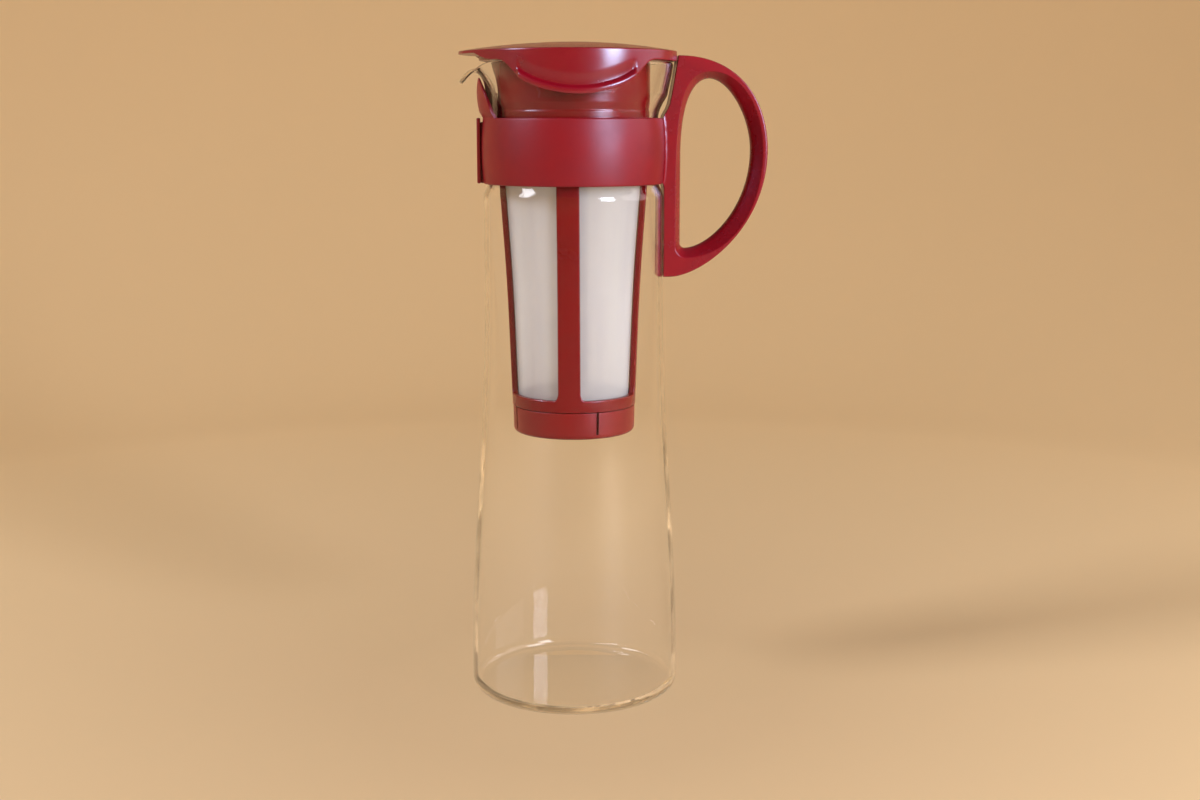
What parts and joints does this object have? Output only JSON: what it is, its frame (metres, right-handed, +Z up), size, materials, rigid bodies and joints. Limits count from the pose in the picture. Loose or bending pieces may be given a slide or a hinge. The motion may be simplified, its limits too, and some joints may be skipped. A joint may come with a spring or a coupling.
{
  "type": "cold brew coffee maker",
  "caption": "Tall waisted glass carafe with a pouring spout, a clamped plastic neck band and D-shaped handle, a hanging mesh strainer with a pull-off cap, and a lift-off lid.",
  "frame": {"origin": "centre of the carafe's flat base, on the glass's axis, where it stands on the table", "axes": "+Z up along the carafe's axis, +X towards the handle, -X towards the pouring spout"},
  "size_m": [0.1378, 0.0968, 0.297],
  "materials": {
    "glass": "clear, polished",
    "band_plastic": "satin",
    "catch_plastic": "satin",
    "handle_plastic": "satin, fine grain",
    "frame_plastic": "gloss",
    "mesh": "fine woven filter mesh, translucent",
    "cap_plastic": "satin",
    "lid_plastic": "high gloss"
  },
  "bodies": {
    "carafe": {"glass_carafe": "glass", "neck_band": "band_plastic", "band_catch": "catch_plastic", "handle": "handle_plastic"},
    "strainer": {"strainer_frame": "frame_plastic", "mesh_sleeve": "mesh"},
    "cap": {"strainer_cap": "cap_plastic"},
    "lid": {"lid": "lid_plastic"}
  },
  "joints": [
    {"name": "strainer_lift", "type": "slide", "parent": "carafe", "child": "strainer", "axis": [0, 0, 1], "range_m": [0, 0.175]},
    {"name": "lid_lift", "type": "slide", "parent": "strainer", "child": "lid", "axis": [0, 0, 1], "range_m": [0, 0.05]},
    {"name": "cap_pull", "type": "slide", "parent": "strainer", "child": "cap", "axis": [0, 0, -1], "range_m": [0, 0.03]}
  ]
}
